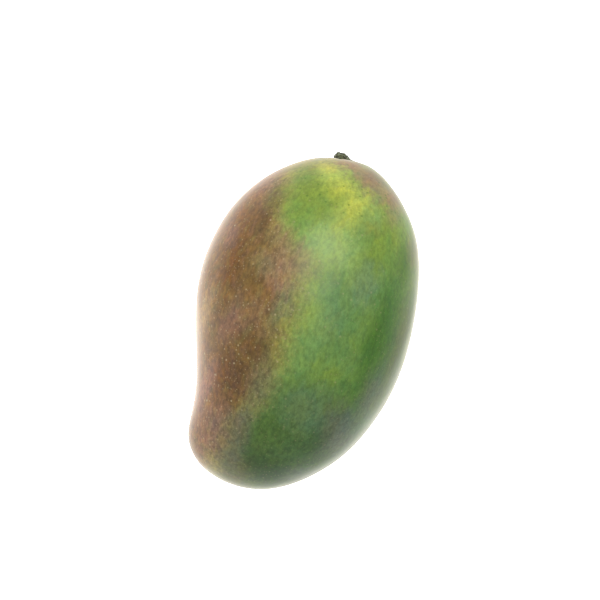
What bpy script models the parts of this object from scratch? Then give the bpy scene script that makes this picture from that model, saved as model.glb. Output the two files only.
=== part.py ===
"""Mango with the stub of its stalk, lying on one cheek.

Metres, +Z up. The fruit lies along Y, with its stalk at +Y and its hollow side, above the beak, at -X.
The origin is on the surface that the fruit lies on, below the middle of its outer box.
"""
from math import acos, atan2, cos, exp, pi, radians, sin

import bmesh
import bpy
from mathutils import Matrix, Vector

# Fruit: half sizes of the plain oval that the stations below shape
HALF_LENGTH = 0.0695
HALF_WIDTH = 0.0442
HALF_THICKNESS = 0.0395

# Stations at even angles from the stalk pole to the apex pole
WIDTH_STATIONS = [0.94, 0.98, 1.046, 1.03, 0.99, 0.927, 0.956, 1.072, 1.13]
THICKNESS_STATIONS = [1.01, 1.045, 1.045, 1.02, 1.0, 0.975, 0.955, 0.955, 0.97]
SWING_STATIONS = [0.0014, 0.0004, -0.0004, -0.0010, 0.0003, 0.0024, -0.0009, -0.0057, -0.0060]

# Section: full at its diagonals, and thicker on the back of the fruit than on the beak side
DIAGONAL_FULLNESS = 0.02
BACK_FULLNESS = 0.05

# Flat spot: how deep the cheek is pressed in where it lies, and how softly its edge turns
FLAT_DEPTH = 0.0009
FLAT_EDGE = 0.0003

# Beak: a low mound on the hollow side, close to the apex
BEAK_CENTRE = Vector((-0.0298, -0.0540, 0.0))
BEAK_HEIGHT = 0.0006
BEAK_RADIUS = 0.0085

# Stalk cavity: a shallow dish round the stub
STALK_X = -0.0031
CAVITY_DEPTH = 0.0022
CAVITY_RADIUS = 0.0068

# Stub: the swollen, broken end of the stalk, on a tapered root
STUB_LEAN = radians(9)
STUB_HEIGHT = 0.0040
STUB_TOP_RADIUS = 0.0030
COLLAR_RADIUS = 0.0036
COLLAR_HEIGHT = 0.0007
ROOT_RADIUS = 0.0023
ROOT_DEPTH = 0.0030
ROOT_GAP = 0.0003
TOP_SLOPE = 0.10
KNOBS = 5
KNOB_HEIGHT = 0.0003
# Ridges down its sides: how many waves round the stub, their phase and their share of the radius
RIDGES = [(3, 0.9, 0.07), (7, -1.2, 0.04), (4, 2.6, 0.03)]
RIDGE_TWIST = 250.0

# Socket for the root, which reaches out past the skin
SOCKET_REACH = 0.0040

# Mesh fineness
FRUIT_MERIDIANS = 80
FRUIT_RINGS = 44
STUB_MERIDIANS = 28
STUB_RINGS = 24
SOCKET_SIDES = 32
SEAT_STEPS = 720

# Stub profile from the dented middle of the broken top to the middle of the root: radius and height
STUB_PROFILE = [
    (0.0, 0.93 * STUB_HEIGHT),
    (0.60 * STUB_TOP_RADIUS, STUB_HEIGHT),
    (0.86 * STUB_TOP_RADIUS, 0.95 * STUB_HEIGHT),
    (STUB_TOP_RADIUS, 0.80 * STUB_HEIGHT),
    (1.08 * STUB_TOP_RADIUS, 0.50 * STUB_HEIGHT),
    (COLLAR_RADIUS, COLLAR_HEIGHT),
    (0.5 * (COLLAR_RADIUS + ROOT_RADIUS), 0.5 * (COLLAR_HEIGHT - ROOT_DEPTH)),
    (ROOT_RADIUS, -ROOT_DEPTH),
    (0.0, -ROOT_DEPTH),
]


def cosine_series(stations):
    """Make a smooth function of the angle from a pole, level at both poles, through even stations."""
    last = len(stations) - 1
    ends = [0.5 if i in (0, last) else 1.0 for i in range(last + 1)]

    def coefficient(k):
        return 2 / last * ends[k] * sum(e * s * cos(pi * i * k / last)
                                        for i, (e, s) in enumerate(zip(ends, stations)))

    coefficients = [coefficient(k) for k in range(last + 1)]

    def value(angle):
        return sum(c * cos(k * angle) for k, c in enumerate(coefficients))

    return value


width_at = cosine_series(WIDTH_STATIONS)
thickness_at = cosine_series(THICKNESS_STATIONS)
swing_at = cosine_series(SWING_STATIONS)


def dome(distance, radius):
    """A round bump of height 1 that fades out past its radius."""
    return exp(-(distance / radius) ** 2)


def press_flat(z):
    """Lift what is below the flat spot to it, with a soft turn at its edge."""
    floor = FLAT_DEPTH - HALF_THICKNESS
    over = z - floor
    if over <= -FLAT_EDGE:
        return floor
    if over < FLAT_EDGE:
        return floor + (over + FLAT_EDGE) ** 2 / (4 * FLAT_EDGE)
    return z


def skin_point(down, around):
    """Point on the skin: down from the stalk pole, and around from +X towards +Z, in radians."""
    fullness = 1 + DIAGONAL_FULLNESS * sin(2 * around) ** 2
    across = HALF_WIDTH * width_at(down) * sin(down) * fullness
    thick = HALF_THICKNESS * thickness_at(down) * sin(down) * fullness
    point = Vector((
        swing_at(down) + across * cos(around),
        HALF_LENGTH * cos(down),
        thick * sin(around) * (1 + BACK_FULLNESS * cos(around)),
    ))
    point.x -= BEAK_HEIGHT * dome((point - BEAK_CENTRE).length, BEAK_RADIUS)
    if down < pi / 2:
        off_stalk = Vector((point.x - STALK_X, point.z)).length
        point.y -= CAVITY_DEPTH * dome(off_stalk, CAVITY_RADIUS)
    point.z = press_flat(point.z)
    return point


def stub_point(down, around):
    """Point on the stub, whose axis is +Y: down from its broken top, and around from +X towards +Z."""
    place = down / pi * (len(STUB_PROFILE) - 1)
    first = min(int(place), len(STUB_PROFILE) - 2)
    radius, height = Vector(STUB_PROFILE[first]).lerp(Vector(STUB_PROFILE[first + 1]), place - first)
    rough = max(0.0, (height - COLLAR_HEIGHT) / (STUB_HEIGHT - COLLAR_HEIGHT))
    twist = around + RIDGE_TWIST * height
    radius *= 1 + rough * sum(depth * cos(waves * twist + phase) for waves, phase, depth in RIDGES)
    x = radius * cos(around)
    knobs = KNOB_HEIGHT * cos(KNOBS * around) * radius / STUB_TOP_RADIUS
    return Vector((x, height + rough * (knobs - TOP_SLOPE * x), radius * sin(around)))


def shaped_sphere(name, meridians, rings, point):
    """Shape a sphere with its poles on Y by a function of the angles down and around."""
    bm = bmesh.new()
    turn = Matrix.Rotation(-pi / 2, 4, "X")
    bmesh.ops.create_uvsphere(bm, u_segments=meridians, v_segments=rings, radius=1.0, matrix=turn)
    for vert in bm.verts:
        down = acos(max(-1.0, min(1.0, vert.co.y)))
        vert.co = point(down, atan2(vert.co.z, vert.co.x))
    bmesh.ops.triangulate(bm, faces=bm.faces)
    return mesh_object(name, bm)


def tapered_cutter(name, sides, low, high):
    """Make a cone along Y between two (radius, height) pairs."""
    bm = bmesh.new()
    (low_radius, low_y), (high_radius, high_y) = low, high
    place = Matrix.Translation((0, (low_y + high_y) / 2, 0)) @ Matrix.Rotation(-pi / 2, 4, "X")
    bmesh.ops.create_cone(bm, cap_ends=True, segments=sides, radius1=low_radius, radius2=high_radius,
                          depth=high_y - low_y, matrix=place)
    return mesh_object(name, bm)


def mesh_object(name, bm):
    """Make an object of a bmesh, shaded smooth."""
    mesh = bpy.data.meshes.new(name)
    bm.to_mesh(mesh)
    bm.free()
    mesh.shade_smooth()
    return bpy.data.objects.new(name, mesh)


def principled(name, colour, roughness):
    """Make a material of one colour and roughness."""
    material = bpy.data.materials.new(name)
    material.use_nodes = True
    shader = material.node_tree.nodes["Principled BSDF"]
    shader.inputs["Base Color"].default_value = (*colour, 1.0)
    shader.inputs["Roughness"].default_value = roughness
    shader.inputs["Metallic"].default_value = 0.0
    return material


def stub_seat():
    """Where the stub's axis meets the skin of the cavity, halfway up the fruit."""
    downs = [pi / 4 * i / SEAT_STEPS for i in range(SEAT_STEPS)]
    return skin_point(min(downs, key=lambda down: abs(skin_point(down, pi).x - STALK_X)), pi)


def make_fruit(seat):
    """The whole fruit, with a plain socket for the root of the stub."""
    fruit = shaped_sphere("mango_fruit", FRUIT_MERIDIANS, FRUIT_RINGS, skin_point)
    fruit.data.materials.append(principled("skin", (0.22, 0.25, 0.07), 0.45))

    taper = (COLLAR_RADIUS - ROOT_RADIUS) / (COLLAR_HEIGHT + ROOT_DEPTH)
    low = (ROOT_RADIUS + ROOT_GAP * (1 - taper), -ROOT_DEPTH - ROOT_GAP)
    high = (low[0] + taper * (SOCKET_REACH - low[1]), SOCKET_REACH)
    socket = tapered_cutter("root_socket", SOCKET_SIDES, low, high)
    socket.location = seat
    socket.rotation_euler.z = STUB_LEAN
    socket.hide_render = True
    socket.display_type = "WIRE"

    cut = fruit.modifiers.new("socket", "BOOLEAN")
    cut.operation = "DIFFERENCE"
    cut.solver = "EXACT"
    cut.object = socket
    return fruit, socket


def make_stub(seat):
    """The broken end of the stalk, standing in its socket."""
    stub = shaped_sphere("stem_stub", STUB_MERIDIANS, STUB_RINGS, stub_point)
    stub.data.materials.append(principled("bark", (0.045, 0.050, 0.028), 0.8))
    stub.location = seat
    stub.rotation_euler.z = STUB_LEAN
    return stub


def corners(*objects):
    """Lowest and highest corner of the objects' own meshes, where they stand."""
    points = [o.matrix_basis @ v.co for o in objects for v in o.data.vertices]
    return tuple(Vector(pick(p[i] for p in points) for i in range(3)) for pick in (min, max))


def main():
    for thing in list(bpy.data.objects):
        bpy.data.objects.remove(thing)
    parts = bpy.data.collections.new("mango")
    cutters = bpy.data.collections.new("cutters")
    bpy.context.scene.collection.children.link(parts)
    bpy.context.scene.collection.children.link(cutters)

    seat = stub_seat()
    fruit, socket = make_fruit(seat)
    stub = make_stub(seat)

    rest = bpy.data.objects.new("resting_place", None)
    low, high = corners(fruit, stub)
    rest.location = (-(low.x + high.x) / 2, -(low.y + high.y) / 2, -low.z)
    for thing in (rest, fruit, stub):
        parts.objects.link(thing)
    cutters.objects.link(socket)
    for thing in (fruit, stub, socket):
        thing.parent = rest


main()
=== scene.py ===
"""A mango that lies on one cheek, dressed with its skin, its dots and bloom, and the stub of its stalk."""
from functools import lru_cache
from math import acos, atan2, cos, exp, pi, radians, sin

import bmesh
import bpy
from bpy.props import FloatProperty, FloatVectorProperty, IntProperty, PointerProperty
from mathutils import Matrix, Vector, noise


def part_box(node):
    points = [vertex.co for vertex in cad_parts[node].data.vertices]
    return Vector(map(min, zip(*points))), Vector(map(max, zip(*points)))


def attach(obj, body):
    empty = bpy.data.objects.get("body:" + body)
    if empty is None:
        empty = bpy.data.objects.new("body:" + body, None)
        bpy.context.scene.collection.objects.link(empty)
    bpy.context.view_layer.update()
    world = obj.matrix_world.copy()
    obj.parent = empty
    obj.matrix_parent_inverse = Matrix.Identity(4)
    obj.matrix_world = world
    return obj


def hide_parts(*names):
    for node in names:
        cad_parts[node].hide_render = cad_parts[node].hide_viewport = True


bl_info = {
    "name": "Mango",
    "version": (1, 0, 0),
    "blender": (4, 5, 0),
    "location": "3D View > Sidebar > Mango",
    "description": "Dresses a packed mango with its skin and stalk stub, on a white studio floor",
    "category": "Object",
}

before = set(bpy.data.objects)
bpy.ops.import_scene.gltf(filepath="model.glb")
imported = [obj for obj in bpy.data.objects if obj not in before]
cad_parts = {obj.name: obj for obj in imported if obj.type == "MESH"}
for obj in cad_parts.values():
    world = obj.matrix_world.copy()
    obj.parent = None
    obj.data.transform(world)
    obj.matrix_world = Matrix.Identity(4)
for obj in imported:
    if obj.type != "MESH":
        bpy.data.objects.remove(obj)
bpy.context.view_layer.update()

MM = 0.001

# Form of the fruit, as the solid has it: half sizes, and stations from the stalk pole to the apex pole
HALF_LENGTH = 0.0695
HALF_WIDTH = 0.0442
HALF_THICKNESS = 0.0395
WIDTH_STATIONS = [0.94, 0.98, 1.046, 1.03, 0.99, 0.927, 0.956, 1.072, 1.13]
THICKNESS_STATIONS = [1.01, 1.045, 1.045, 1.02, 1.0, 0.975, 0.955, 0.955, 0.97]
SWING_STATIONS = [0.0014, 0.0004, -0.0004, -0.0010, 0.0003, 0.0024, -0.0009, -0.0057, -0.0060]
DIAGONAL_FULLNESS = 0.02
BACK_FULLNESS = 0.05
SOLID_RINGS = 88
SOLID_MERIDIANS = 160
FLAT_DEPTH = 0.0009
FLAT_EDGE = 0.0003
BEAK_CENTRE = Vector((-0.0298, -0.0540, 0.0))
BEAK_HEIGHT = 0.0006
BEAK_RADIUS = 0.0085
STALK_X = -0.0031
CAVITY_DEPTH = 0.0022
CAVITY_RADIUS = 0.0068

# Fine form, which the solids leave out. The skin has so many waves a metre, and they rise along the
# fruit by less than they do out of it. The creases end at so many radians from the stalk.
RELIEF_WAVES = 45
RELIEF_LEAN = 0.8
CAVITY_ENDS = 0.5
POLE_CROWDING = 0.35
CREASES = 7
CREASE_SWAY = 0.9
CREASE_DEPTH = 0.00028
CREASE_MIDDLE = 0.0078
CREASE_REACH = 0.0032
LIP_RADIUS = 0.0044
LIP_WIDTH = 0.0008
LIP_HEIGHT = 0.00035
LIP_KNOTS = 5
LIP_UNEVEN = 0.35
LUMP_HEIGHT = 0.00035
LUMPS_ROUND = 2.2
LUMPS_ALONG = 350
FIBRE_HEIGHT = 0.00010
FIBRES_ROUND = 9
FIBRES_ALONG = 160
FIBRES_APART = 7
PIT_DEPTH = 0.00045
PITS_ACROSS = 900
TOP_STARTS = 0.6
WORN_DEPTH = 0.0002
STUB_TAPER = 0.30
SHRED_REACH = 0.0014
SHRED_HEIGHT = 0.0013
SHRED_SIDE = 0.25
SHRED_LAYERS = [(0.8 * SHRED_REACH, 0.8 * SHRED_HEIGHT, 0.70), (SHRED_REACH, 0.3 * SHRED_HEIGHT, 0.25)]

# Form of the stub, as the solid has it
STUB_LEAN = radians(9)
STUB_HEIGHT = 0.0040
STUB_TOP_RADIUS = 0.0030
COLLAR_RADIUS = 0.0036
COLLAR_HEIGHT = 0.0007
ROOT_RADIUS = 0.0023
ROOT_DEPTH = 0.0030
SEAT_STEPS = 720
TOP_SLOPE = 0.10
KNOBS = 5
KNOB_HEIGHT = 0.0003
RIDGES = [(3, 0.9, 0.07), (7, -1.2, 0.04), (4, 2.6, 0.03)]
RIDGE_TWIST = 250.0
STUB_PROFILE = [
    (0.0, 0.93 * STUB_HEIGHT),
    (0.60 * STUB_TOP_RADIUS, STUB_HEIGHT),
    (0.86 * STUB_TOP_RADIUS, 0.95 * STUB_HEIGHT),
    (STUB_TOP_RADIUS, 0.80 * STUB_HEIGHT),
    (1.08 * STUB_TOP_RADIUS, 0.50 * STUB_HEIGHT),
    (COLLAR_RADIUS, COLLAR_HEIGHT),
    (0.5 * (COLLAR_RADIUS + ROOT_RADIUS), 0.5 * (COLLAR_HEIGHT - ROOT_DEPTH)),
    (ROOT_RADIUS, -ROOT_DEPTH),
    (0.0, -ROOT_DEPTH),
]


def screen(red, green, blue):
    """A colour as a screen shows it, 0 to 255, in the linear values that shaders use."""
    shares = (value / 255 for value in (red, green, blue))
    return tuple(s / 12.92 if s <= 0.04045 else ((s + 0.055) / 1.055) ** 2.4 for s in shares)


def colour(name, description, default):
    return FloatVectorProperty(name=name, description=description, default=default, subtype="COLOR",
                               min=0.0, max=1.0)


class MangoSkin(bpy.types.PropertyGroup):
    meridians: IntProperty(name="Meridians", description="Faces round the fruit", default=384, min=24)
    rings: IntProperty(name="Rings", description="Faces from stalk to apex", default=240, min=12)
    relief: FloatProperty(name="Relief", description="Height of the soft waves of the skin",
                          default=0.00022, unit="LENGTH")
    green: colour("Green", "Skin in the shade of the leaves", screen(104, 138, 69))
    # Pale green is also laid, in part, as a painted highlight of the soft lamp in the middle of the cheek.
    pale_green: colour("Pale green", "Skin where the cheek is ripest", screen(140, 170, 90))
    low_green: colour("Low green", "Skin towards the apex", screen(72, 102, 48))
    deep_green: colour("Deep green", "Skin of the apex", screen(42, 74, 18))
    grass: colour("Grass green", "Strongest green, on the back", screen(60, 104, 22))
    moss: colour("Moss", "Brownish green of the far flank", screen(80, 94, 36))
    # Haze is partly blue grey bloom and partly a painted sheen of the soft lamp.
    haze: colour("Haze", "Blue grey bloom on the green", screen(112, 138, 98))
    grey_green: colour("Grey green", "Dull green of the lower back", screen(92, 118, 78))
    dusk: colour("Dusk", "Dull mauve grey of the lower back", screen(86, 98, 76))
    lime: colour("Lime", "Yellow green of the shoulders", screen(118, 144, 54))
    yellow: colour("Yellow", "Ripest skin, below the stalk", screen(184, 190, 78))
    khaki: colour("Khaki", "Dull yellow brown", screen(142, 128, 82))
    olive: colour("Olive", "Where the blush fades into green", screen(142, 142, 74))
    brown: colour("Brown", "Blush of the side that saw the sun", screen(112, 85, 41))
    amber: colour("Amber", "Warmest blush", screen(108, 67, 9))
    umber: colour("Umber", "Deepest blush", screen(94, 66, 30))
    rose: colour("Rose", "Rosy bloom on the blush", screen(146, 114, 84))
    mauve: colour("Mauve", "Mauve bloom on the blush", screen(138, 98, 82))
    bloom: colour("Bloom", "Grey bloom by the beak", screen(90, 92, 74))
    # Tan and straw are partly the flanks' own dusty tone and partly painted rim light.
    tan: colour("Tan", "Dusty flank of the blushed side", screen(174, 114, 76))
    straw: colour("Straw", "Dusty flank of the green side", screen(118, 118, 64))
    sand: colour("Sand", "Palest skin of the blushed flank", screen(196, 164, 108))
    lenticel: colour("Lenticels", "Corky dots of the skin", screen(196, 178, 136))


class MangoStub(bpy.types.PropertyGroup):
    meridians: IntProperty(name="Meridians", description="Faces round the stub", default=144, min=24)
    rings: IntProperty(name="Rings", description="Faces from top to root", default=120, min=12)
    bark: colour("Bark", "Weathered skin of the stalk", screen(80, 84, 52))
    dark: colour("Dark", "Cracks and broken wood", screen(44, 42, 32))
    lichen: colour("Grey green", "Pale flecks of the bark", screen(148, 156, 128))


class MangoStage(bpy.types.PropertyGroup):
    floor: colour("Floor", "White floor", (0.90, 0.90, 0.90))
    glow: FloatProperty(name="Glow", description="Light of the floor's own", default=1.0, min=0.0)
    key_size: FloatProperty(name="Lamp", description="Width of the soft lamp", default=0.60, unit="LENGTH")
    key_power: FloatProperty(name="Power", description="Power of the soft lamp", default=5.2, unit="POWER")
    lens: FloatProperty(name="Lens", description="Focal length of the camera", default=100.0, unit="CAMERA")
    distance: FloatProperty(name="Distance", description="Camera to the middle of the fruit",
                            default=0.669, unit="LENGTH")
    lean: FloatProperty(name="Lean", description="How far the fruit leans in the picture",
                        default=radians(17), unit="ROTATION")
    tilt: FloatProperty(name="Tilt", description="Camera's tilt from straight down, towards the apex",
                        default=radians(5), unit="ROTATION")


def cosine_series(stations):
    """Make a smooth function of the angle from a pole, level at both poles, through even stations."""
    last = len(stations) - 1
    ends = [0.5 if i in (0, last) else 1.0 for i in range(last + 1)]

    def coefficient(k):
        return 2 / last * ends[k] * sum(e * s * cos(pi * i * k / last)
                                        for i, (e, s) in enumerate(zip(ends, stations)))

    coefficients = [coefficient(k) for k in range(last + 1)]

    @lru_cache(maxsize=None)
    def value(angle):
        return sum(c * cos(k * angle) for k, c in enumerate(coefficients))

    return value


width_at = cosine_series(WIDTH_STATIONS)
thickness_at = cosine_series(THICKNESS_STATIONS)
swing_at = cosine_series(SWING_STATIONS)


def dome(distance, radius):
    """A round bump of height 1 that fades out past its radius."""
    return exp(-(distance / radius) ** 2)


def press_flat(z):
    """Lift what is below the flat spot to it, with a soft turn at its edge."""
    floor = FLAT_DEPTH - HALF_THICKNESS
    over = z - floor
    if over <= -FLAT_EDGE:
        return floor
    if over < FLAT_EDGE:
        return floor + (over + FLAT_EDGE) ** 2 / (4 * FLAT_EDGE)
    return z


def skin_point(down, around):
    """Point on the skin: down from the stalk pole, and around from +X towards +Z, in radians."""
    fullness = 1 + DIAGONAL_FULLNESS * sin(2 * around) ** 2
    across = HALF_WIDTH * width_at(down) * sin(down) * fullness
    thick = HALF_THICKNESS * thickness_at(down) * sin(down) * fullness
    point = Vector((
        swing_at(down) + across * cos(around),
        HALF_LENGTH * cos(down),
        thick * sin(around) * (1 + BACK_FULLNESS * cos(around)),
    ))
    point.x -= BEAK_HEIGHT * dome((point - BEAK_CENTRE).length, BEAK_RADIUS)
    if down < pi / 2:
        off_stalk = Vector((point.x - STALK_X, point.z)).length
        point.y -= CAVITY_DEPTH * dome(off_stalk, CAVITY_RADIUS)
    return point


def crowd_poles(down):
    """Draw rings closer to both poles, where the stalk's cavity and the apex need them."""
    return round(down - POLE_CROWDING * sin(2 * down) / 2, 6)


def cavity_rise(point):
    """How much the corky lip round the stalk and the creases that run out from it raise the skin."""
    off = Vector((point.x - STALK_X, point.z))
    away = off.length
    angle = atan2(off.y, off.x)
    wave = cos(CREASES * angle + CREASE_SWAY * sin(2 * angle) + CREASE_SWAY)
    crease = CREASE_DEPTH * max(0.0, wave) ** 3 * dome(away - CREASE_MIDDLE, CREASE_REACH)
    lip = LIP_HEIGHT * dome(away - LIP_RADIUS, LIP_WIDTH) * (1 + LIP_UNEVEN * cos(LIP_KNOTS * angle + 1))
    return lip - crease


def stub_point(down, around):
    """Point on the stub, whose axis is +Y: down from its broken top, and around from +X towards +Z."""
    place = down / pi * (len(STUB_PROFILE) - 1)
    first = min(int(place), len(STUB_PROFILE) - 2)
    radius, height = Vector(STUB_PROFILE[first]).lerp(Vector(STUB_PROFILE[first + 1]), place - first)
    rough = max(0.0, (height - COLLAR_HEIGHT) / (STUB_HEIGHT - COLLAR_HEIGHT))
    twist = around + RIDGE_TWIST * height
    radius *= 1 + rough * sum(depth * cos(waves * twist + phase) for waves, phase, depth in RIDGES)
    x = radius * cos(around)
    knobs = KNOB_HEIGHT * cos(KNOBS * around) * radius / STUB_TOP_RADIUS
    return Vector((x, height + rough * (knobs - TOP_SLOPE * x), radius * sin(around)))


def stub_grain(point, around):
    """Bark of the stub: lumps, fibres along it, a worn and pitted top, and a shred left at its foot."""
    turn = Vector((cos(around), 0.0, sin(around)))
    lumps = noise.fractal(turn * LUMPS_ROUND + Vector((0, point.y * LUMPS_ALONG, 0)), 1.0, 2.0, 3)
    fibres = noise.noise(turn * FIBRES_ROUND + Vector((0, point.y * FIBRES_ALONG, FIBRES_APART)))
    shown = min(1.0, max(0.0, point.y / COLLAR_HEIGHT))
    out = shown * (LUMP_HEIGHT * lumps + FIBRE_HEIGHT * fibres)
    for reach, tall, wide in SHRED_LAYERS:
        out += reach * dome(point.y - SHRED_HEIGHT, tall) * dome(around - SHRED_SIDE, wide)
    pits = noise.fractal(Vector((point.x, 0.0, point.z)) * PITS_ACROSS, 1.0, 2.0, 3)
    top = max(0.0, point.y / STUB_HEIGHT - TOP_STARTS) / (1 - TOP_STARTS)
    slope = STUB_TAPER * max(0.0, point.x) * min(1.0, max(0.0, point.y / STUB_HEIGHT))
    sink = top * (WORN_DEPTH - PIT_DEPTH * pits) + 0.5 * slope
    return point + turn * out - Vector((slope, sink, 0))


def stub_seat():
    """Where the stub's axis meets the skin of the cavity, halfway up the fruit."""
    downs = [pi / 4 * i / SEAT_STEPS for i in range(SEAT_STEPS)]
    return skin_point(min(downs, key=lambda down: abs(skin_point(down, pi).x - STALK_X)), pi)


def fruit_place():
    """Shift from the formula's own middle to where the solid lies."""
    low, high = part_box("mango_fruit")
    points = [skin_point(pi * i / SOLID_RINGS, 2 * pi * j / SOLID_MERIDIANS)
              for i in range(SOLID_RINGS + 1) for j in range(SOLID_MERIDIANS)]
    middle = Vector((min(p[i] for p in points) + max(p[i] for p in points)) / 2 for i in range(3))
    shift = (low + high) / 2 - middle
    shift.z = HALF_THICKNESS - FLAT_DEPTH
    return shift


PLACE = fruit_place()
SEAT = stub_seat()


def ball(meridians, rings):
    """A sphere with its poles on Y, and the angles down and around of each of its points."""
    bm = bmesh.new()
    turn = Matrix.Rotation(-pi / 2, 4, "X")
    bmesh.ops.create_uvsphere(bm, u_segments=meridians, v_segments=rings, radius=1.0, matrix=turn)
    angles = [(round(acos(max(-1.0, min(1.0, v.co.y))), 6), atan2(v.co.z, v.co.x)) for v in bm.verts]
    return bm, angles


def finish_piece(name, bm, material, node):
    """Make a smooth object of a bmesh, riding on the root body in place of its node."""
    mesh = bpy.data.meshes.new(name)
    bm.to_mesh(mesh)
    bm.free()
    mesh.shade_smooth()
    mesh.materials.append(material)
    piece = bpy.data.objects.new(name, mesh)
    bpy.context.scene.collection.objects.link(piece)
    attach(piece, "root")
    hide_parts(node)
    return piece


class Graph:
    """Short calls for the nodes of one material or world. Each call gives back a socket."""

    def __init__(self, owner, shader="Principled BSDF"):
        owner.use_nodes = True
        self.owner = owner
        self.tree = owner.node_tree
        self.shader = self.tree.nodes[shader]

    def add(self, kind, inputs, out=0, **settings):
        node = self.tree.nodes.new(kind)
        for key, value in settings.items():
            setattr(node, key, value)
        for key, value in inputs.items():
            self.put(node.inputs[key], value)
        return node.outputs[out]

    def put(self, socket, value):
        if isinstance(value, bpy.types.NodeSocket):
            self.tree.links.new(value, socket)
        elif hasattr(value, "__len__") and len(value) == 3 and socket.type == "RGBA":
            socket.default_value = (*value, 1.0)
        else:
            socket.default_value = value

    def set(self, **values):
        """Set inputs of the shader. An underscore in a name stands for a space."""
        for name, value in values.items():
            self.put(self.shader.inputs[name.replace("_", " ")], value)

    def math(self, operation, a, b=0.0, c=0.0):
        return self.add("ShaderNodeMath", {0: a, 1: b, 2: c}, operation=operation)

    def vector(self, operation, a, b=(0.0, 0.0, 0.0)):
        out = "Value" if operation in ("LENGTH", "DOT_PRODUCT") else "Vector"
        return self.add("ShaderNodeVectorMath", {0: a, 1: b}, out, operation=operation)

    def axes(self, where):
        """The three parts of a point."""
        apart = self.add("ShaderNodeSeparateXYZ", {0: where}).node
        return [apart.outputs[i] for i in range(3)]

    def lengthwise(self, value):
        """A value as a shift along the fruit."""
        return self.add("ShaderNodeCombineXYZ", {1: value})

    def mix(self, share, a, b, blend="MIX"):
        """Mix two colours, which a Mix node takes as its inputs 6 and 7 and gives back as its output 2."""
        return self.add("ShaderNodeMix", {0: share, 6: a, 7: b}, 2, data_type="RGBA", blend_type=blend)

    def step(self, value, low, high, to_low=0.0, to_high=1.0, how="SMOOTHSTEP"):
        """Take a value from one range to another, and hold it at the ends."""
        inputs = {"Value": value, "From Min": low, "From Max": high, "To Min": to_low, "To Max": to_high}
        return self.add("ShaderNodeMapRange", inputs, interpolation_type=how)

    def noise(self, where, size, detail=2.0, roughness=0.5, out=0):
        """Soft noise of a size. Its output 0 is one value, and its output 1 is a colour."""
        inputs = {"Vector": where, "Scale": 1 / size, "Detail": detail, "Roughness": roughness}
        return self.add("ShaderNodeTexNoise", inputs, out, noise_dimensions="3D")

    def streaks(self, where, squeeze, size, detail=2.0, roughness=0.5):
        """Noise that is drawn out along each axis where its squeeze is below 1."""
        return self.noise(self.vector("MULTIPLY", where, squeeze), size, detail, roughness)

    def cells(self, where, spacing):
        """Distance to the nearest of points strewn at a spacing."""
        inputs = {"Vector": where, "Scale": 1 / spacing, "Randomness": 1.0}
        return self.add("ShaderNodeTexVoronoi", inputs, "Distance")

    def warp(self, where, size, reach, detail=2.0):
        """Push points about by up to half a reach, in waves of a size."""
        push = self.noise(where, size, detail, out=1)
        push = self.vector("SUBTRACT", push, (0.5, 0.5, 0.5))
        push = self.vector("MULTIPLY", push, (reach, reach, reach))
        return self.vector("ADD", where, push)

    def sway(self, value, reach):
        """Noise as a shift of up to half a reach either way."""
        return self.math("MULTIPLY_ADD", value, reach, -0.5 * reach)

    def lay(self, tint, over, share, where, centre, radii):
        """Lay a soft spot of another colour over a tint. Its centre and radii are in millimetres."""
        away = self.vector("SUBTRACT", where, tuple(c * MM for c in centre))
        away = self.vector("DIVIDE", away, tuple(r * MM for r in radii))
        spot = self.step(self.vector("LENGTH", away), 1.0, SPOT_CORE)
        return self.mix(self.math("MULTIPLY", spot, share), tint, over)

    def wash(self, tint, over, mask, value, low, high, share=1.0, blend="MIX"):
        """Mix another colour into a tint within a mask, the more the further a value is from low to high."""
        amount = self.math("MULTIPLY", self.step(value, low, high, 0.0, share), mask)
        return self.mix(amount, tint, over, blend)


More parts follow.
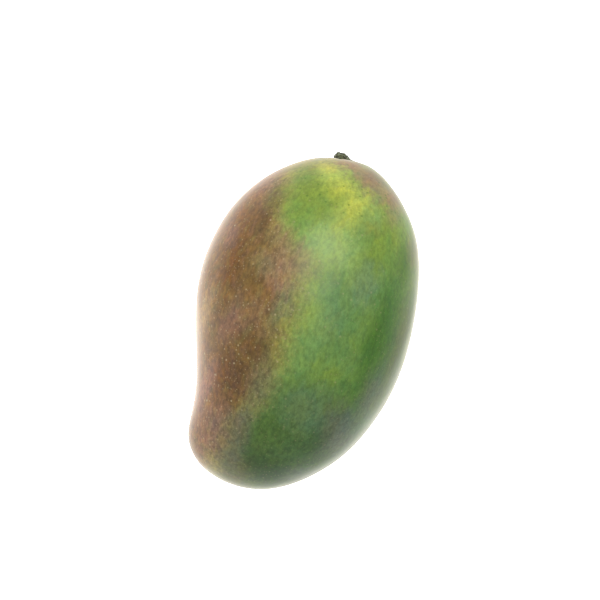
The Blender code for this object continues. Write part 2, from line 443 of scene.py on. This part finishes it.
# Soft spots of the cheek that faces up: first those of its green side, then those of its blush, then those
# that lie over both. Each has the name of its colour, its share, its middle and its half sizes across and
# along the fruit, in millimetres, and they are laid in this order.
GREEN_SPOTS = [
    # Painted highlight: this broad pale green spot is partly the skin's own pale green and partly the soft
    # lamp's highlight.
    ("pale_green", 0.80, (3, 33), (17, 14)),
    ("moss", 0.15, (-14, 50), (9, 12)),
    ("yellow", 0.82, (-5, 60), (9, 8)),
    ("yellow", 0.60, (1, 56), (7, 6)),
    ("yellow", 0.85, (8, 51), (9, 8)),
    ("pale_green", 0.25, (5, 47), (10, 8)),
    ("yellow", 0.38, (5, 44), (10, 10)),
    ("yellow", 0.28, (-3, 53), (8, 7)),
    ("khaki", 0.95, (2, 65), (10, 7)),
    ("khaki", 1.00, (10, 61), (10, 10)),
    ("khaki", 0.90, (17, 58), (10, 10)),
    ("khaki", 0.60, (24, 52), (7, 10)),
    ("mauve", 0.70, (0, 65), (7, 4)),
    ("mauve", 0.45, (9, 62), (9, 6)),
    ("mauve", 0.60, (21, 59), (6, 9)),
    ("khaki", 0.25, (15, 43), (8, 8)),
    ("pale_green", 0.50, (15, 48), (7, 7)),
    ("grass", 0.70, (33, 34), (7, 14)),
    ("mauve", 0.45, (36, 42), (6, 14)),
    # Painted sheen: the haze spots are partly bloom and partly the soft lamp's sheen.
    ("haze", 0.60, (19, 21), (8, 13)),
    ("pale_green", 0.45, (11, 28), (8, 10)),
    ("haze", 0.25, (11, 4), (9, 13)),
    ("grass", 0.85, (31, 2), (10, 40)),
    ("moss", 0.90, (40, 0), (8, 48)),
    ("grass", 0.35, (27, -20), (9, 12)),
    ("dusk", 0.75, (34, -20), (7, 18)),
    ("lime", 0.30, (16, -16), (11, 8)),
    ("green", 0.40, (24, 4), (5, 16)),
    ("lime", 0.80, (-1, 4), (10, 22)),
    ("pale_green", 0.45, (3, -2), (10, 22)),
    ("green", 0.40, (3, -9), (7, 9)),
    ("grey_green", 0.85, (12, -32), (16, 14)),
    ("dusk", 0.95, (26, -36), (12, 18)),
    ("deep_green", 1.00, (6, -60), (28, 13)),
    ("deep_green", 0.60, (20, -46), (10, 12)),
    ("dusk", 0.60, (20, -58), (12, 7)),
]
BLUSH_SPOTS = [
    ("khaki", 0.75, (-14, 30), (12, 12)),
    ("amber", 0.90, (-33, 18), (8, 36)),
    ("khaki", 0.35, (-36, -8), (6, 18)),
    ("khaki", 0.60, (-20, 17), (7, 8)),
    ("rose", 0.90, (-11, 15), (12, 14)),
    ("rose", 0.40, (-20, -2), (12, 11)),
    ("mauve", 0.50, (-25, -9), (6, 13)),
    ("umber", 0.40, (-15, -14), (10, 9)),
    ("umber", 1.00, (-21, -29), (9, 15)),
    ("amber", 0.60, (-24, -28), (5, 14)),
    ("mauve", 0.80, (-28, -38), (5, 20)),
    ("mauve", 0.75, (-20, -48), (7, 12)),
    ("umber", 0.60, (-26, 38), (6, 12)),
    ("mauve", 0.45, (-36, 25), (5, 9)),
    ("mauve", 0.95, (-28, 55), (9, 13)),
]
LATE_SPOTS = [
    ("bloom", 0.85, (-11, -46), (8, 13)),
    ("bloom", 0.55, (-8, -27), (9, 17)),
    ("dusk", 0.80, (-12, -58), (9, 10)),
    ("mauve", 0.60, (-20, -54), (8, 10)),
    ("sand", 0.45, (-38, -12), (6, 18)),
    ("mauve", 0.30, (-28, 50), (8, 16)),
    ("moss", 0.55, (-24, 46), (7, 8)),
    ("umber", 0.45, (-24, 41), (6, 7)),
    ("khaki", 0.50, (-9, 23), (7, 8)),
    ("khaki", 0.45, (-11, -8), (6, 7)),
    ("umber", 0.28, (12, 64), (10, 5)),
    ("haze", 0.40, (-9, 3), (6, 12)),
    ("bloom", 0.55, (-19, -48), (7, 10)),
    ("dusk", 0.35, (-16, -54), (7, 8)),
]


# Soft spots of colour: the share of one that is its even core, how deep they go, and the level above the
# floor that they are laid round, in millimetres
SPOT_CORE = 0.2
SPOT_DEPTH = 80
TOP_LEVEL = 78
BLUSH_LEVEL = 70

# The camera's tilt shifts the spots along the fruit, the more the higher they lie
SPOT_TILT = 0.087
SPOT_SHIFT = -3.4 * MM

# How far colours are drawn out along the fruit, and how wide the stippled edge of the blush is
STROKE_LENGTH = 10 * MM
STIPPLE_WIDTH = 7 * MM

# Where the colours of the skin turn, from and to: along the fruit from its middle, above the floor, or into
# the blush from its edge. Two more numbers give what a range is taken to, which is 0 and 1 otherwise.
LIME_ALONG = (14 * MM, 44 * MM)
LOW_GREEN_ALONG = (-12 * MM, -46 * MM)
LIME_BELOW = (34 * MM, 8 * MM, 0.0, 0.6)
BLUSH_EDGE_BY_STALK = (22 * MM, 42 * MM, -2 * MM, -21 * MM)
BLUSH_EDGE_BY_BEAK = (-18 * MM, -66 * MM, 0.0, -13 * MM)
BLUSH_EDGE_BELOW = (40 * MM, 5 * MM, 0.0, 10 * MM)
OLIVE_INTO = (-6 * MM, 4 * MM, 0.0, 0.9)
BLUSH_INTO = (0.0, 10 * MM)
RIPE_INTO = (-6 * MM, 8 * MM)
SPECKS_ALONG = (30 * MM, 50 * MM, 0.10, 0.55)

# Pale flanks, partly the skin's own dusty tone and partly painted rim light: the heights that they fade in
# over, how far streaks lift those, where one flank gives way to the other, and their share along the fruit
BLUSHED_FLANK = (74 * MM, 52 * MM)
GREEN_FLANK = (60 * MM, 44 * MM)
BLUSHED_FRINGE = 14 * MM
GREEN_FRINGE = 10 * MM
FLANK_SIDE = (8 * MM, -8 * MM)
FLANK_ALONG = (-64 * MM, -30 * MM, 0.20, 0.42)

# What drifts of the skin are multiplied by, and how much of them shows on the weaker side
WARMER = (1.20, 1.15, 0.98)
COOLER = (0.84, 0.88, 0.97)
YELLOWER = (1.10, 1.03, 0.88)
BLUER = (0.86, 0.97, 1.06)
DRIFT_ON_GREEN = 0.5
HUE_IN_BLUSH = 0.4

# Fine mottle: how strong it is along the fruit, how much stronger in the blush, and its middle
MOTTLE_ALONG = (0.0, -45 * MM, 0.225, 0.30)
MOTTLE_IN_BLUSH = 0.13
MOTTLE_MIDDLE = 0.97

# Lenticels: spacing, middling radius and strength of each kind, how much smaller the smallest is, the share
# of one that is its even core, and how much of them shows outside the blush
LENTICELS = [(3.2 * MM, 0.55 * MM, 0.58), (1.9 * MM, 0.42 * MM, 0.42), (1.15 * MM, 0.33 * MM, 0.32)]
LENTICEL_LEAST = 0.6
LENTICEL_CORE = 0.2
LENTICELS_ON_GREEN = 0.38
FAINTEST = 0.2

# Dark specks: their spacing, and the distances from their middles over which they fade out
SPECK_SPACING = 2.6 * MM
SPECK_EDGE = (0.26, 0.08)

# Finish of the skin and the bark
SKIN_ROUGHNESS = (0.38, 0.48)
WAVE_RISE = 0.10 * MM
PORE_RISE = 0.02 * MM
LENTICEL_RISE = 0.02 * MM
CRACKS = (0.42, 0.58)
FLECKS = (0.52, 0.66)
FLECK_SHARE = 0.8


def lay_spots(g, look, tint, spots, where, level):
    """Lay the spots of a list over a tint, in its order."""
    for name, share, (across, along), (wide, tall) in spots:
        middle = (across, along, level)
        tint = g.lay(tint, getattr(look, name), share, where, middle, (wide, tall, SPOT_DEPTH))
    return tint


def skin_places(g):
    """Points of the skin as they lie, softly warped, and torn into short strokes along the fruit."""
    here = g.add("ShaderNodeTexCoord", {}, "Object")
    height = g.axes(here)[2]
    lean = g.math("MULTIPLY_ADD", height, SPOT_TILT, SPOT_SHIFT)
    soft = g.warp(g.vector("ADD", here, g.lengthwise(lean)), size=20 * MM, reach=6 * MM)
    comb = g.streaks(soft, (1.0, 0.12, 1.0), 2.2 * MM, detail=3.0, roughness=0.6)
    torn = g.warp(soft, size=4 * MM, reach=4 * MM, detail=3.0)
    return here, soft, g.vector("ADD", torn, g.lengthwise(g.sway(comb, STROKE_LENGTH)))


def green_side(g, look, torn, y, z):
    """Greens, yellower towards the stalk and darker towards the apex."""
    tint = g.mix(g.step(y, *LIME_ALONG), look.green, look.lime)
    tint = g.mix(g.step(y, *LOW_GREEN_ALONG), tint, look.low_green)
    tint = g.mix(g.step(z, *LIME_BELOW), tint, look.lime)
    return lay_spots(g, look, tint, GREEN_SPOTS, torn, TOP_LEVEL)


def depth_of_blush(g, here, x, y, z):
    """How far a point lies inside the stippled edge of the blush, on the side that saw the sun."""
    stipple = g.noise(here, 1.1 * MM, detail=3.0, roughness=0.7)
    edge = g.math("ADD", g.step(y, *BLUSH_EDGE_BY_STALK), g.step(y, *BLUSH_EDGE_BY_BEAK))
    edge = g.math("ADD", edge, g.step(z, *BLUSH_EDGE_BELOW))
    edge = g.math("ADD", edge, g.sway(stipple, STIPPLE_WIDTH))
    return g.math("SUBTRACT", edge, x)


def blushed(g, look, tint, torn, into):
    """The blush over the green, by way of olive, and the spots that lie over both."""
    blush = lay_spots(g, look, look.brown, BLUSH_SPOTS, torn, BLUSH_LEVEL)
    tint = g.mix(g.step(into, *OLIVE_INTO), tint, look.olive)
    tint = g.mix(g.step(into, *BLUSH_INTO), tint, blush)
    return lay_spots(g, look, tint, LATE_SPOTS, torn, TOP_LEVEL)


def pale_flanks_with_painted_rim_light(g, look, tint, torn):
    """Pale flanks, partly the skin's own dusty tone and partly painted rim light, with streaks that run
    level round the fruit.
    """
    x, y, z = g.axes(torn)
    streak = g.streaks(torn, (0.2, 0.2, 1.0), 1.4 * MM, detail=3.0, roughness=0.6)
    flank = g.step(g.math("MULTIPLY_ADD", streak, BLUSHED_FRINGE, z), *BLUSHED_FLANK)
    far = g.step(g.math("MULTIPLY_ADD", streak, GREEN_FRINGE, z), *GREEN_FLANK)
    near = g.step(x, *FLANK_SIDE)
    flank = g.math("MULTIPLY_ADD", g.math("SUBTRACT", flank, far), near, far)
    pale = g.mix(near, look.straw, look.tan)
    # Painted rim light: pale tan or straw laid over the flanks, along with their own dusty tone.
    tint = g.mix(g.math("MULTIPLY", flank, g.step(y, *FLANK_ALONG)), tint, pale)
    tint = g.wash(tint, look.mauve, flank, streak, low=0.48, high=0.70, share=0.34)
    return g.wash(tint, look.moss, flank, streak, low=0.48, high=0.30, share=0.28)


def drifts(g, look, tint, soft, torn, ripe):
    """Drifts of warmer and cooler skin, of yellower and bluer green, and of mauve and olive in the blush."""
    drift = g.noise(torn, 4 * MM)
    much = g.math("MULTIPLY_ADD", ripe, 1.0 - DRIFT_ON_GREEN, DRIFT_ON_GREEN)
    tint = g.wash(tint, WARMER, much, drift, low=0.50, high=0.72, blend="MULTIPLY")
    tint = g.wash(tint, COOLER, much, drift, low=0.50, high=0.30, blend="MULTIPLY")
    hue = g.streaks(torn, (1.0, 0.6, 1.0), 8 * MM, detail=3.0, roughness=0.6)
    less = g.math("MULTIPLY_ADD", ripe, HUE_IN_BLUSH - 1.0, 1.0)
    tint = g.wash(tint, YELLOWER, less, hue, low=0.48, high=0.66, blend="MULTIPLY")
    tint = g.wash(tint, BLUER, less, hue, low=0.52, high=0.34, blend="MULTIPLY")
    flush = g.streaks(soft, (1.0, 0.5, 1.0), 3 * MM)
    tint = g.wash(tint, look.mauve, ripe, flush, low=0.48, high=0.70, share=0.20)
    return g.wash(tint, look.olive, ripe, flush, low=0.50, high=0.30, share=0.14)


def mottled(g, tint, grain, y, ripe):
    """A fine mottle of light and dark, strongest in the blush and towards the apex."""
    reach = g.math("MULTIPLY_ADD", ripe, MOTTLE_IN_BLUSH, g.step(y, *MOTTLE_ALONG))
    swing = g.math("SUBTRACT", g.step(grain, 0.25, 0.75), 0.5)
    shade = g.math("MULTIPLY_ADD", swing, g.math("MULTIPLY", reach, 2.0), MOTTLE_MIDDLE)
    return g.mix(1.0, tint, g.add("ShaderNodeCombineColor", {0: shade, 1: shade, 2: shade}), "MULTIPLY")


def dark_specks(g, look, tint, here, y, ripe):
    """Small dark specks round the yellow."""
    speck = g.step(g.cells(here, SPECK_SPACING), *SPECK_EDGE)
    speck = g.math("MULTIPLY", speck, g.step(y, *SPECKS_ALONG))
    return g.mix(g.math("MULTIPLY", speck, g.math("SUBTRACT", 1.0, ripe)), tint, look.grass)


def lenticels(g, here):
    """Corky dots in three sizes, some plain and most faint: how much of one is at a point."""
    total = None
    for spacing, radius, share in LENTICELS:
        cell = g.cells(here, spacing)
        luck = g.add("ShaderNodeSeparateColor", {0: cell.node.outputs["Color"]}, 0)
        least = LENTICEL_LEAST * radius / spacing
        size = g.math("MULTIPLY_ADD", luck, least, least)
        dot = g.step(cell, size, g.math("MULTIPLY", size, LENTICEL_CORE))
        dot = g.math("MULTIPLY", dot, g.step(luck, 0.1, 1.0, FAINTEST * share, share))
        total = dot if total is None else g.math("MAXIMUM", total, dot)
    return total


def skin_bump(g, here, dots):
    """Waves of a few millimetres, pores, and lenticels that stand proud."""
    rise = g.math("MULTIPLY", g.noise(here, 5 * MM), WAVE_RISE)
    rise = g.math("MULTIPLY_ADD", g.noise(here, 1.2 * MM, detail=3.0), PORE_RISE, rise)
    rise = g.math("MULTIPLY_ADD", dots, LENTICEL_RISE, rise)
    return g.add("ShaderNodeBump", {"Height": rise, "Distance": 1.0, "Strength": 1.0}, "Normal")


def skin_material(look):
    g = Graph(bpy.data.materials.new("mango_skin"))
    here, soft, torn = skin_places(g)
    x, y, z = g.axes(torn)
    into = depth_of_blush(g, here, x, y, z)
    ripe = g.step(into, *RIPE_INTO)
    grain = g.streaks(here, (1.0, 0.55, 1.0), 1.3 * MM, detail=4.0, roughness=0.72)
    dots = lenticels(g, here)

    tint = green_side(g, look, torn, y, z)
    tint = blushed(g, look, tint, torn, into)
    tint = pale_flanks_with_painted_rim_light(g, look, tint, torn)
    tint = drifts(g, look, tint, soft, torn, ripe)
    tint = mottled(g, tint, grain, y, ripe)
    tint = dark_specks(g, look, tint, here, y, ripe)
    plain = g.math("MULTIPLY_ADD", ripe, 1.0 - LENTICELS_ON_GREEN, LENTICELS_ON_GREEN)
    tint = g.mix(g.math("MULTIPLY", dots, plain), tint, look.lenticel)

    rough = g.step(grain, 0.3, 0.7, *SKIN_ROUGHNESS)
    g.set(Base_Color=tint, Roughness=rough, Normal=skin_bump(g, here, dots))
    g.set(Specular_IOR_Level=0.24, Coat_Weight=0.12, Coat_Roughness=0.18)
    g.set(Sheen_Weight=0.72, Sheen_Roughness=0.30, Sheen_Tint=(1.0, 0.93, 0.80))
    return g.owner


def bark_material(look):
    g = Graph(bpy.data.materials.new("stalk_bark"))
    here = g.add("ShaderNodeTexCoord", {}, "Object")
    whole = g.step(g.noise(here, 1.0 * MM, detail=3.0), *CRACKS)
    flecks = g.step(g.noise(here, 0.9 * MM, detail=3.0, roughness=0.55), *FLECKS)
    tint = g.mix(whole, look.dark, look.bark)
    tint = g.mix(g.math("MULTIPLY", flecks, FLECK_SHARE), tint, look.lichen)
    g.set(Base_Color=tint, Roughness=0.8)
    return g.owner


class MANGO_OT_skin(bpy.types.Operator):
    """Grow the skin of the fruit, with its soft relief, over the solid"""
    bl_idname = "mango.skin"
    bl_label = "Fruit skin"

    def execute(self, context):
        look = context.scene.mango_skin
        bm, angles = ball(look.meridians, look.rings)
        for vert, (down, around) in zip(bm.verts, angles):
            point = skin_point(crowd_poles(down), around)
            if down < CAVITY_ENDS:
                point.y += cavity_rise(point)
            wave = noise.fractal(point * RELIEF_WAVES, 1.0, 2.0, 2) * look.relief
            point += wave * (point - Vector((0, point.y * RELIEF_LEAN, 0))).normalized()
            point.z = press_flat(point.z)
            vert.co = point + PLACE
        finish_piece("mango_skin", bm, skin_material(look), "mango_fruit")
        return {"FINISHED"}


class MANGO_OT_stub(bpy.types.Operator):
    """Shape the broken end of the stalk in the stalk cavity"""
    bl_idname = "mango.stub"
    bl_label = "Stalk stub"

    def execute(self, context):
        look = context.scene.mango_stub
        bm, angles = ball(look.meridians, look.rings)
        place = Matrix.Translation(SEAT + PLACE) @ Matrix.Rotation(STUB_LEAN, 4, "Z")
        for vert, (down, around) in zip(bm.verts, angles):
            vert.co = place @ stub_grain(stub_point(down, around), around)
        finish_piece("stalk_stub", bm, bark_material(look), "stem_stub")
        return {"FINISHED"}


# Stage. The floor's own light grows towards one side and round the fruit, and is even far out. The sky is
# brighter low down and on the left. Each has its range, and the light at both ends.
WHITE = (1.0, 1.0, 1.0)
FLOOR_HALF = 4.0
BRIGHT_SIDE = (-0.5, -0.87, 0.0)
GLOW_ACROSS = (-0.22, 0.22, 0.35, 1.60)
GLOW_ROUND_FRUIT = (2.1, 1.2, 0.9, 1.4)
GLOW_EVENS_OUT = (0.3, 0.9)
SKY_BY_HEIGHT = (0.05, 0.75, 1.00, 0.40)
SKY_BY_SIDE = (-1.0, 1.0, 1.35, 0.65)
KEY_PLACE = (-0.03, 0.42, 0.87)
AIM_X = -0.00278
AIM_Y = 0.00796


class MANGO_OT_stage(bpy.types.Operator):
    """Set the white floor, the soft lights and the camera that looks down on the fruit"""
    bl_idname = "mango.stage"
    bl_label = "Studio"

    def execute(self, context):
        look = context.scene.mango_stage
        self.floor(context.scene, look)
        self.sky(context.scene)
        self.lamp(context.scene, look)
        self.camera(context.scene, look)
        context.scene.view_settings.view_transform = "Standard"
        return {"FINISHED"}

    def floor(self, scene, look):
        bm = bmesh.new()
        bmesh.ops.create_grid(bm, x_segments=1, y_segments=1, size=FLOOR_HALF)
        mesh = bpy.data.meshes.new("floor")
        bm.to_mesh(mesh)
        bm.free()
        mesh.materials.append(self.floor_material(look))
        floor = bpy.data.objects.new("floor", mesh)
        scene.collection.objects.link(floor)

    def floor_material(self, look):
        g = Graph(bpy.data.materials.new("floor"))
        here = g.add("ShaderNodeTexCoord", {}, "Object")
        low, high, dim, bright = GLOW_ACROSS
        ahead = g.vector("DOT_PRODUCT", here, BRIGHT_SIDE)
        glow = g.step(ahead, low, high, dim * look.glow, bright * look.glow)
        away = g.vector("LENGTH", g.vector("DIVIDE", here, (HALF_WIDTH, HALF_LENGTH, 1.0)))
        glow = g.math("MULTIPLY", glow, g.step(away, *GLOW_ROUND_FRUIT))
        far = g.step(g.vector("LENGTH", here), *GLOW_EVENS_OUT)
        glow = g.math("MULTIPLY_ADD", g.math("SUBTRACT", 1.0, glow), far, glow)
        g.set(Base_Color=look.floor, Roughness=0.6, Emission_Color=WHITE, Emission_Strength=glow)
        return g.owner

    def sky(self, scene):
        """A sky that is bright round the horizon and dim overhead, and plain white to the camera."""
        g = Graph(bpy.data.worlds.new("studio"), "Background")
        side, _, height = g.axes(g.add("ShaderNodeTexCoord", {}, "Generated"))
        light = g.math("MULTIPLY", g.step(height, *SKY_BY_HEIGHT), g.step(side, *SKY_BY_SIDE, how="LINEAR"))
        seen = g.add("ShaderNodeLightPath", {}, "Is Camera Ray")
        strength = g.add("ShaderNodeMix", {"Factor": seen, "A": light, "B": 1.0}, "Result")
        g.set(Color=WHITE, Strength=strength)
        scene.world = g.owner

    def lamp(self, scene, look):
        """One broad soft lamp above the stalk, turned to the fruit."""
        light = bpy.data.lights.new("key", "AREA")
        light.shape = "DISK"
        light.size = look.key_size
        light.energy = look.key_power
        lamp = bpy.data.objects.new("key", light)
        lamp.location = KEY_PLACE
        lamp.rotation_euler = (Vector(KEY_PLACE) - PLACE).to_track_quat("Z", "Y").to_euler()
        scene.collection.objects.link(lamp)

    def camera(self, scene, look):
        lens = bpy.data.cameras.new("camera")
        lens.lens = look.lens
        eye = bpy.data.objects.new("camera", lens)
        aim = Vector((AIM_X, AIM_Y, PLACE.z))
        turn = Matrix.Rotation(look.tilt, 4, "X") @ Matrix.Rotation(look.lean, 4, "Z")
        eye.matrix_world = Matrix.Translation(aim) @ turn @ Matrix.Translation((0, 0, look.distance))
        scene.collection.objects.link(eye)
        scene.camera = eye


class MANGO_PT_panel(bpy.types.Panel):
    bl_idname = "MANGO_PT_panel"
    bl_label = "Mango"
    bl_space_type = "VIEW_3D"
    bl_region_type = "UI"
    bl_category = "Mango"

    def draw(self, context):
        for operator, group in STEPS:
            box = self.layout.box()
            box.operator(operator.bl_idname)
            look = getattr(context.scene, group)
            for name in look.__annotations__:
                box.prop(look, name)


STEPS = [
    (MANGO_OT_skin, "mango_skin"),
    (MANGO_OT_stub, "mango_stub"),
    (MANGO_OT_stage, "mango_stage"),
]
GROUPS = {"mango_skin": MangoSkin, "mango_stub": MangoStub, "mango_stage": MangoStage}
CLASSES = [*GROUPS.values(), *(operator for operator, group in STEPS), MANGO_PT_panel]


def register():
    for item in CLASSES:
        bpy.utils.register_class(item)
    for name, group in GROUPS.items():
        setattr(bpy.types.Scene, name, PointerProperty(type=group))


def unregister():
    for name in GROUPS:
        delattr(bpy.types.Scene, name)
    for item in reversed(CLASSES):
        bpy.utils.unregister_class(item)


def main():
    register()
    bpy.ops.mango.skin()
    bpy.ops.mango.stub()
    bpy.ops.mango.stage()


if __name__ == "__main__":
    main()
